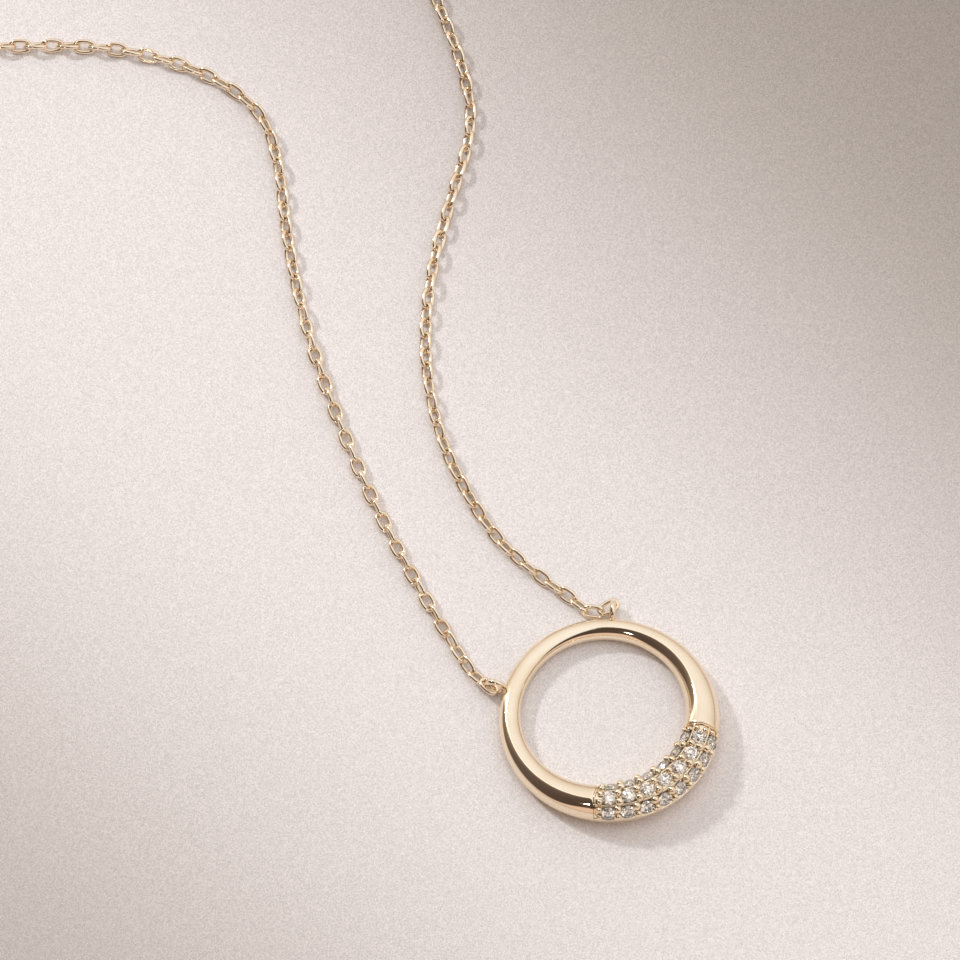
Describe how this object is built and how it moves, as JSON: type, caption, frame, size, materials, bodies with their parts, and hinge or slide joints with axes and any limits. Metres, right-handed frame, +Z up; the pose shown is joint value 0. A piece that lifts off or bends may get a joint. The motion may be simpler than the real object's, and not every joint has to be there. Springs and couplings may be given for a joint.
{
  "type": "diamond necklace",
  "caption": "Gold necklace lying flat: open circle pendant thickened at one side and set with small round diamonds, on a fine cable chain with a clasp.",
  "frame": {"origin": "under the middle of the whole necklace's outline, on the surface that it lies on", "axes": "+Z up from the surface; -Y from the clasp towards the pendant and its stones, along the pendant's line of symmetry; +X to the right as the pendant is seen from above with its stones nearest"},
  "size_m": [0.0828, 0.1758, 0.0029],
  "materials": {
    "gold": "polished pale yellow gold",
    "diamond": "clear faceted stone"
  },
  "bodies": {
    "root": {"ring": "gold", "chain_left": "gold", "chain_right": "gold", "clasp": "gold", "jump_ring": "gold", "stone_top_1": "diamond", "stone_top_2": "diamond", "stone_top_3": "diamond", "stone_top_4": "diamond", "stone_top_5": "diamond", "stone_top_6": "diamond", "stone_top_7": "diamond", "stone_outer_1": "diamond", "stone_outer_2": "diamond", "stone_outer_3": "diamond", "stone_outer_4": "diamond", "stone_outer_5": "diamond", "stone_outer_6": "diamond", "stone_outer_7": "diamond", "stone_outer_8": "diamond", "stone_inner_1": "diamond", "stone_inner_2": "diamond", "stone_inner_3": "diamond", "stone_inner_4": "diamond", "stone_inner_5": "diamond", "stone_inner_6": "diamond"}
  },
  "joints": []
}
